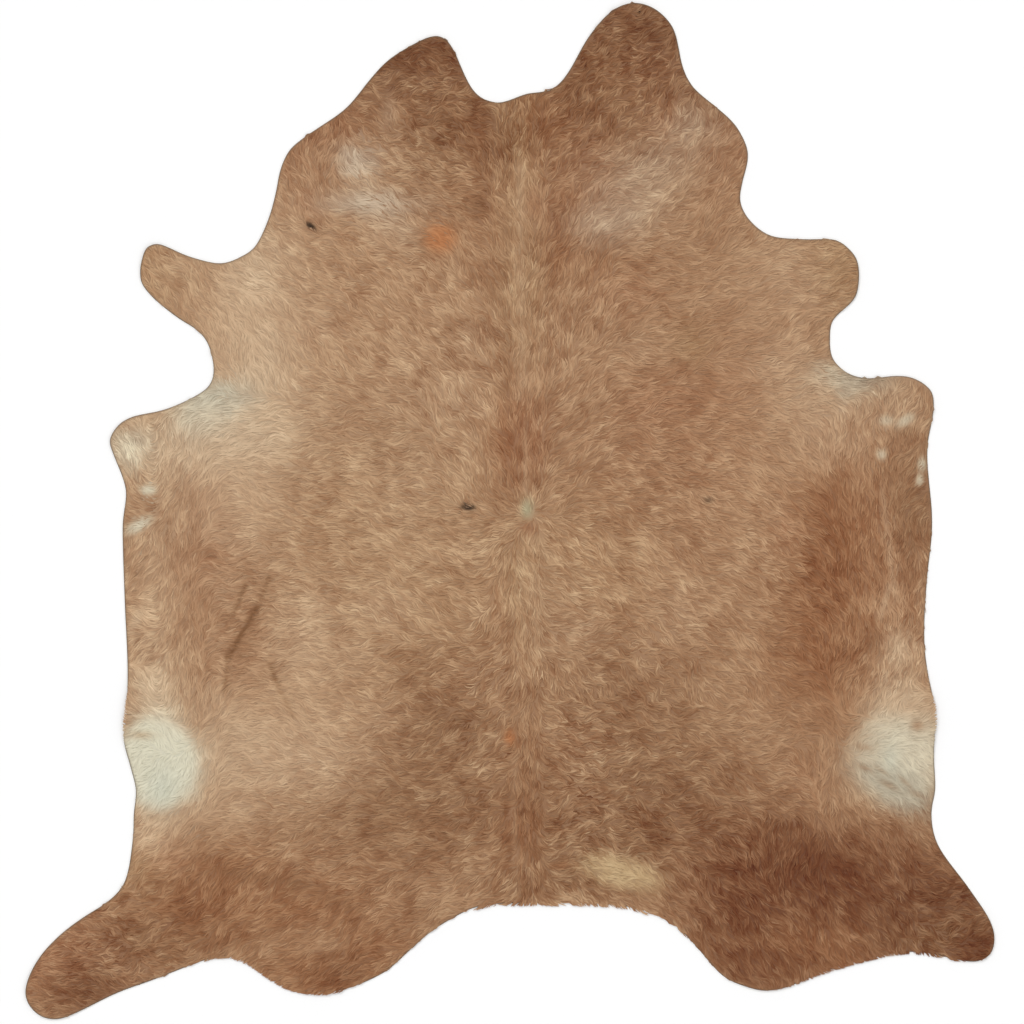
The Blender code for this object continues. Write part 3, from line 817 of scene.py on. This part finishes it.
# The hair: flat tapered locks, laid along the comb in layers. Each layer is one piece.
hair = {
    # along a lock from root to tip: shares of its length, of its width, and of its lift
    # the ground layer lies under the top ones, and its light below 1 is painted shade
    "ground": {"name": "ground_hair", "locks": 46000, "seed": 40,
               "stations": (0, 0.5), "widths": (0.75, 1.0), "rises": (1.0, 0.7),
               "length": 0.024, "width": 0.0042, "lift": (0.0004, 0.0011), "light": 0.96},
    "top": [
        {"name": "top_hair_" + str(number + 1), "locks": 31600, "seed": 50 + number,
         "stations": (0, 0.35, 0.7), "widths": (0.7, 1.0, 0.75), "rises": (0.85, 1.0, 0.7),
         "length": 0.025, "width": 0.0020, "lift": (0.0007, 0.0021), "light": 1.0}
        for number in range(5)
    ],
    "rootDepth": 0.0003,    # how deep the roots sit in the leather
    "lengthSpread": 0.3,
    "wave": 14,             # degrees that whole strands of hair wander
    "waveLength": 0.045,
    "frizz": 26,            # degrees that small tufts wander
    "frizzLength": 0.0085,
    "swing": 1.7,           # takes up what both lose by mostly lying near their middle
    "stray": 9,             # degrees of one lock against its neighbours
    "tuft": 0.0085,         # distance between tufts
    "tuftSpan": 3,          # metres that the lattice of tufts covers
    "gather": 0.38,         # how far the tips of a tuft draw together
    "gatherSpread": (0.5, 1.2),
    "gatherCurve": 1.5,     # more than 1 draws the tips more than the middles
    "widthSpread": (0.7, 1.3),
    "roll": 10,             # degrees that locks lean to one side
    "edgeGap": (0.0006, 0.0022),    # how far tips stop inside the outline where it is trimmed
    "fringe": 0.0028,       # how far tips may reach past it where hair hangs over
    "shortest": 0.25,       # a lock cut shorter than this share at the edge is left out
    "edgeShade": 0.45,      # how much of the cut edge's grey and painted edge shade the hair takes at a trimmed edge, and how far in
    "edgeReach": 0.003,
    # light and dark of the locks, in steps of 0 to 255
    "toneHills": [(6, 0.075, 73), (11, 0.030, 71), (13, 0.010, 72)],
    "toneTint": (0.95, 1.05, 0.95),
    "toneLock": 5.5,
    # locks that lie higher are lighter: painted shade on the lower ones
    "liftShade": 9,
    # painted shade along each lock: darkest at the root, where hair lies under hair
    "rootLight": 0.93,
    "tipLight": 1.04,
    "tipCurve": 0.7,
    "cellMargin": 0.12,     # share of a lock's cell in the baked picture that stays free
    # shorter hair: x, y, reach, share taken off
    "short": [
        (3.6, 0.5, 3, 0.5), (-88, -97, 14, 0.25), (95, -88, 14, 0.25), (-76, 53, 10, 0.25),
        (71, 52, 10, 0.25), (-73.5, -52, 9, 0.15), (84, 18, 8, 0.2), (-80, 14, 8, 0.2),
        (-18, 88, 16, 0.3), (28, 90, 18, 0.3), (16, 68, 12, 0.2),
    ],
    # where light and dark hair stand out more (or less): x, y, reach, share added
    "contrast": [
        (27, 96, 16, 0.6), (-15, 84, 16, 0.45), (7, 78, 12, 0.4), (-8, 35, 20, 0.25),
        (12, -10, 18, 0.25), (2, -47, 18, 0.5), (20, -62, 18, 0.45), (10, -76, 12, 0.5),
        (52, -80, 16, 0.4), (88, -89, 10, 0.6), (-85, -93, 12, 0.5), (-50, -78, 10, 0.25),
        (83, -28, 9, 0.5), (-78, 11, 6, 0.5), (-78, -24, 8, 0.4), (62, -14, 10, 0.25),
        (-58, -24, 8, 0.25), (-56, 38, 16, -0.45), (-60, 15, 16, -0.4), (-57, 2, 10, -0.25),
        (50, 45, 18, -0.3), (62, 18, 18, -0.3), (38, 30, 14, -0.2), (-28, 62, 6, -0.3),
        (-58, -48, 16, -0.45), (-45, -35, 12, -0.25), (-63, -66, 10, -0.3),
        (58, -40, 14, -0.25), (70, -42, 10, -0.25), (66, -60, 10, -0.2),
        (-73.5, -52, 9, -0.3), (83, -50, 9, -0.35), (-68, -20, 9, -0.4),
        (3, -45, 6, -0.5), (3, -58, 6, -0.6), (3, -70, 5, -0.5), (-46, -88, 8, -0.3),
    ],
}


def nearestTuft(x, y, spacing, seed):
    # one tuft to each square of a lattice, set off at random inside it
    side = int(hair["tuftSpan"] / spacing) + 6
    offset = np.random.default_rng(seed).random((2, side, side))
    ix = np.floor(x / spacing).astype(int) + side // 2
    iy = np.floor(y / spacing).astype(int) + side // 2
    best = np.full(len(x), np.inf)
    tuftX, tuftY = x.copy(), y.copy()
    for stepX in (-1, 0, 1):
        for stepY in (-1, 0, 1):
            squareX, squareY = ix + stepX, iy + stepY
            middleX = (squareX - side // 2 + offset[0, squareY, squareX]) * spacing
            middleY = (squareY - side // 2 + offset[1, squareY, squareX]) * spacing
            away = (middleX - x) ** 2 + (middleY - y) ** 2
            closer = away < best
            best = np.where(closer, away, best)
            tuftX = np.where(closer, middleX, tuftX)
            tuftY = np.where(closer, middleY, tuftY)
    return tuftX, tuftY


def follow(x, y, length, turn, stations):
    # walks from each root along the comb and gives the places at the stations and at the tip
    places = [(x, y)]
    steps = 8
    marks = [round(share * steps) for share in stations[1:]] + [steps]
    for number in range(1, steps + 1):
        curl = 1 + spots(x, y, comb["curls"]) / hair["wave"]
        wander = hair["wave"] * curl * softNoise(x, y, hair["waveLength"], 31)
        wander += hair["frizz"] * curl * softNoise(x, y, hair["frizzLength"], 32)
        angle = np.radians(wander * hair["swing"] + turn)
        dirX, dirY = readMap("combX", x, y), readMap("combY", x, y)
        size = np.hypot(dirX, dirY) + 1e-9
        dirX, dirY = dirX / size, dirY / size
        x = x + (dirX * np.cos(angle) - dirY * np.sin(angle)) * length / steps
        y = y + (dirX * np.sin(angle) + dirY * np.cos(angle)) * length / steps
        if number in marks:
            places.append((x, y))
    return np.array(places)


def layHair(layer):
    draw = np.random.default_rng(layer["seed"])
    low, high = outline.min(0), outline.max(0)
    spacing = math.sqrt(abs(ringArea(outline)) / layer["locks"])
    columns, rows = np.ceil((high - low) / spacing).astype(int)
    gridX, gridY = np.meshgrid(np.arange(columns), np.arange(rows))
    x = low[0] + (gridX.ravel() + draw.random(gridX.size)) * spacing
    y = low[1] + (gridY.ravel() + draw.random(gridX.size)) * spacing
    inset = leather["edgeInset"] + mm * spots(x, y, leather["overhang"])
    rooted = readMap("inward", x, y) > inset + 0.5 * mm
    x, y = x[rooted], y[rooted]
    count = len(x)

    length = layer["length"] * (1 + hair["lengthSpread"] * draw.uniform(-1, 1, count))
    length *= 1 - spots(x, y, hair["short"])
    turn = draw.normal(0, hair["stray"], count)
    path = follow(x, y, length, turn, layer["stations"])

    # tips of one tuft draw together
    tuftX, tuftY = nearestTuft(x, y, hair["tuft"], 60)
    tuftPath = follow(tuftX, tuftY, np.full(count, layer["length"]), 0, layer["stations"])
    shares = np.array(list(layer["stations"]) + [1.0])
    gather = hair["gather"] * draw.uniform(*hair["gatherSpread"], count)
    path += (tuftPath - path) * (shares ** hair["gatherCurve"])[:, None, None] * gather

    # locks stop short of a trimmed edge, and hang a little over where the fringe is
    hangs = np.clip(spots(x, y, leather["overhang"]) / 4, 0, 1)
    reach = hangs * hair["fringe"] * draw.random(count)
    reach -= (1 - hangs) * draw.uniform(*hair["edgeGap"], count)
    atRoot, atTip = readMap("inward", x, y), readMap("inward", path[-1, 0], path[-1, 1])
    keep = np.where(atTip < -reach, (atRoot + reach) / np.maximum(atRoot - atTip, 1e-6), 1)
    stay = keep > hair["shortest"]
    keep, hangs = keep[stay], hangs[stay]
    path = path[:, :, stay]
    path = path[0] + (path - path[0]) * keep
    count = len(keep)

    # heights: rooted in the leather, then over or under the neighbours
    rank = draw.random(count)
    lift = layer["lift"][0] + (layer["lift"][1] - layer["lift"][0]) * rank
    heights = readMap("height", path[:, 0], path[:, 1])
    heights[0] -= hair["rootDepth"]
    heights[1:] += np.array(layer["rises"])[:, None] * lift

    # across each lock, leaning to one side
    ahead = np.gradient(path, axis=0)
    ahead /= np.linalg.norm(ahead, axis=1)[:, None, :] + 1e-9
    roll = np.radians(draw.normal(0, hair["roll"], count))
    sideX, sideY, sideZ = -ahead[:, 1] * np.cos(roll), ahead[:, 0] * np.cos(roll), np.sin(roll)
    half = layer["width"] / 2 * draw.uniform(*hair["widthSpread"], count)
    points = []
    for number, share in enumerate(layer["widths"]):
        for hand in (1, -1):
            aside = hand * half * share
            points.append(np.stack([
                path[number, 0] + sideX[number] * aside,
                path[number, 1] + sideY[number] * aside,
                heights[number] + sideZ * aside,
            ], 1))
    points.append(np.stack([path[-1, 0], path[-1, 1], heights[-1]], 1))
    points = np.stack(points, 1)

    perLock = points.shape[1]
    first = np.arange(count)[:, None] * perLock
    quads = [first + np.array([[0, 1, 3, 2]]) + 2 * number for number in range(perLock // 2 - 1)]
    tips = first + np.array([[perLock - 3, perLock - 2, perLock - 1]])
    piece, corners = pieceFromArrays(layer["name"], points.reshape(-1, 3), quads + [tips])

    # colour: the coat's, by the lock's middle, darker at the root and lighter at the tip; the change
    # from root to tip is painted shade where the roots lie under other hair
    middle = path[1]
    colour = coatColour(*middle)
    tone = hills(*middle, hair["toneHills"])
    # each lock's own tone, and painted shade on the locks that lie lower
    tone += hair["toneLock"] * draw.normal(0, 1, count) + hair["liftShade"] * (rank - 0.5)
    tone *= np.clip(1 + spots(*middle, hair["contrast"]), 0.3, 2)
    colour = colour * layer["light"] + tone[:, None] * hair["toneTint"]
    along = np.append(np.repeat(layer["stations"], 2), 1.0)
    paintedRootShade = hair["rootLight"] + (hair["tipLight"] - hair["rootLight"]) * along ** hair["tipCurve"]
    full = (colour[:, None, :] * paintedRootShade[None, :, None]).reshape(-1, 3)
    flat = points.reshape(-1, 3)
    x, y = flat[:, 0], flat[:, 1]
    layMarks(full, x, y)
    inward = readMap("inward", x, y)
    # hair at a trimmed edge gets the same grey and painted edge shade
    cover = hair["edgeShade"] * np.exp(-(inward / hair["edgeReach"]) ** 2)
    dyeOver(full, "edgeGreyAndShade", cover * (1 - np.repeat(hangs, perLock)))
    pointValues(piece.data, "hairTone", "FLOAT_COLOR", "color", inLight(full))
    # by this number each lock has streaks of its own
    numbers = np.repeat(draw.random(count) * 40, perLock)
    pointValues(piece.data, "lockNumber", "FLOAT", "value", numbers)

    # one small cell of the baked picture for each lock, and a map that runs along the lock
    across = np.array([0, 1] * (perLock // 2) + [0.5])
    side = math.ceil(math.sqrt(count))
    lock = corners // perLock
    part = corners % perLock
    free = hair["cellMargin"]
    cellU = (lock % side + free + (1 - 2 * free) * across[part]) / side
    cellV = (lock // side + free + (1 - 2 * free) * along[part]) / side
    cornerMap(piece.data, "OFBake", np.stack([cellU, cellV], 1))
    cornerMap(piece.data, "strand", np.stack([across[part], along[part]], 1))
    return piece


hairPieces = []
for layer in [hair["ground"]] + hair["top"]:
    hairPieces.append(layHair(layer))
    print(layer["name"] + ":", len(hairPieces[-1].data.polygons), "faces")

cowHair = hairMaterial()
for piece in hairPieces:
    piece.data.materials.append(cowHair)
print("materials done")

# The rug lies as one body; the leather stands for the solid, and the hair is on it
for piece in [leatherPiece] + hairPieces:
    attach(piece, "root")
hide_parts("hide")

# Plain pale floor, soft light and a camera straight above, as far off as a long lens needs
studio = {
    "frameWidth": 2.1504,       # what the square picture takes in, on the floor
    "middle": (0.0042, -0.0021),
    "lens": 150,
    "sensor": 36,
    "floorSize": 14,
    "floorDrop": 0.0005,
    "floorColour": (0.93, 0.93, 0.93, 1),
    "sky": (1.0, 1.0, 1.0, 1),
    "skyStrength": 0.55,
    # direction the light comes from, degrees round and up, strength, softness in degrees
    "suns": [(125, 55, 1.15, 35), (-50, 50, 0.55, 60), (30, 60, 0.35, 60)],
}


def buildStudio():
    bpy.ops.mesh.primitive_plane_add(size=studio["floorSize"], location=(0, 0, -studio["floorDrop"]))
    floor = bpy.context.active_object
    floor.name = "floor"
    recipe = Recipe("pale floor")
    floor.data.materials.append(recipe.finish(Base_Color=studio["floorColour"], Roughness=0.9))
    for number, (around, up, strength, softness) in enumerate(studio["suns"]):
        bpy.ops.object.light_add(type="SUN", location=(0, 0, 3))
        sun = bpy.context.active_object
        sun.name = "soft_light_" + str(number + 1)
        sun.data.energy = strength
        sun.data.angle = math.radians(softness)
        sun.rotation_euler = (0, math.radians(90 - up), math.radians(around))
    world = bpy.data.worlds.new("pale room")
    bpy.context.scene.world = world
    world.use_nodes = True
    background = world.node_tree.nodes["Background"]
    background.inputs["Color"].default_value = studio["sky"]
    background.inputs["Strength"].default_value = studio["skyStrength"]

    away = studio["frameWidth"] * studio["lens"] / studio["sensor"]
    bpy.ops.object.camera_add(location=(*studio["middle"], away), rotation=(0, 0, 0))
    camera = bpy.context.active_object
    camera.data.lens = studio["lens"]
    camera.data.sensor_width = studio["sensor"]
    camera.data.clip_end = 100
    bpy.context.scene.camera = camera
    bpy.context.scene.view_settings.view_transform = "Standard"


buildStudio()
print("studio done")
